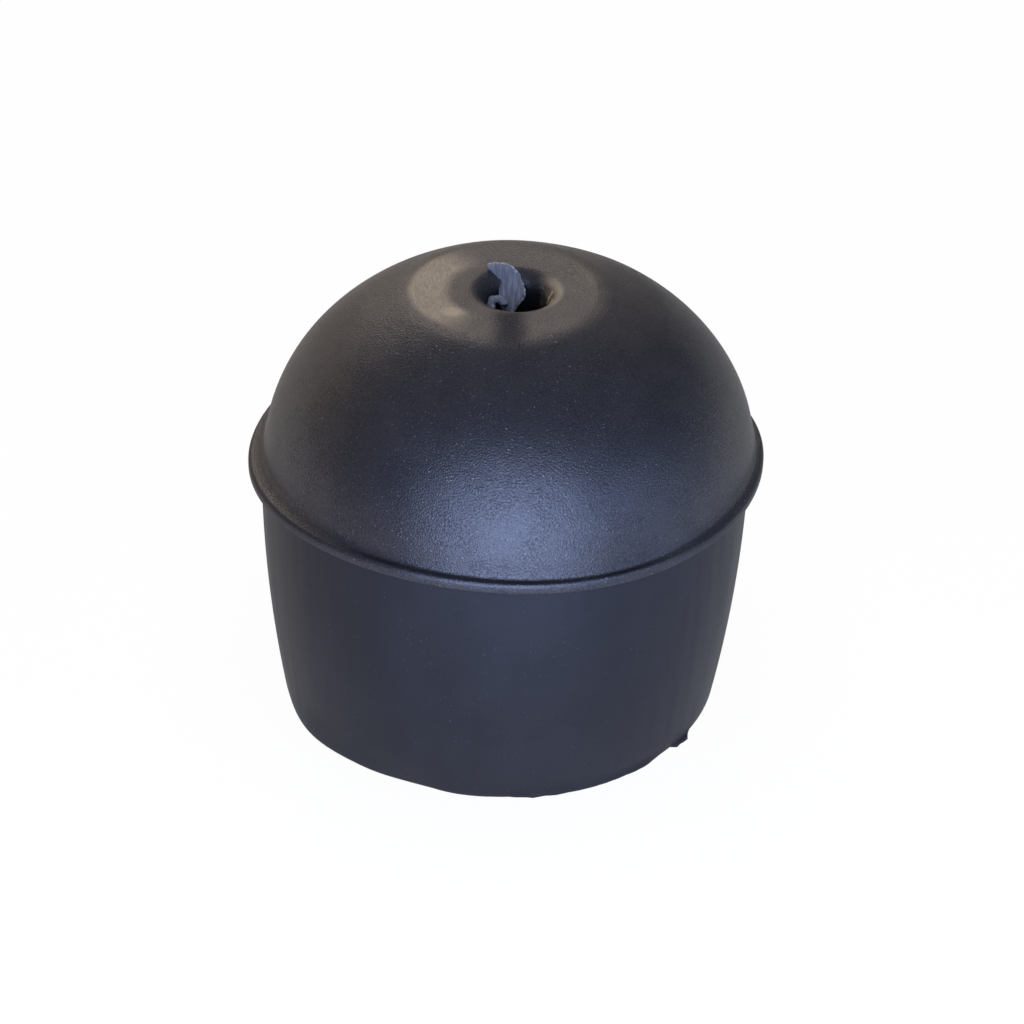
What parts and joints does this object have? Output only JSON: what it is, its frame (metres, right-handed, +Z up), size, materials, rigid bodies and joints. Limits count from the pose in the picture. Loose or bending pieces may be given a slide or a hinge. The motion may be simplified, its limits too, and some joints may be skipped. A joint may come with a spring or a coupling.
{
  "type": "tube end cap",
  "caption": "Domed push-in end cap for a round tube: a tapered hollow plug, a thin stop flange and a domed head with a recessed gate mark at its crown.",
  "frame": {"origin": "centre of the open rim that the cap stands on, at the height of that rim", "axes": "+Z up along the cap's axis, from the open rim to the crown; -Y is the front, from which the torn sprue shows its face; +X is to the right"},
  "size_m": [0.0604, 0.0602, 0.0525],
  "materials": {
    "black_plastic": "satin black, with a fine leathery grain"
  },
  "bodies": {
    "root": {"end_cap": "black_plastic"}
  },
  "joints": []
}
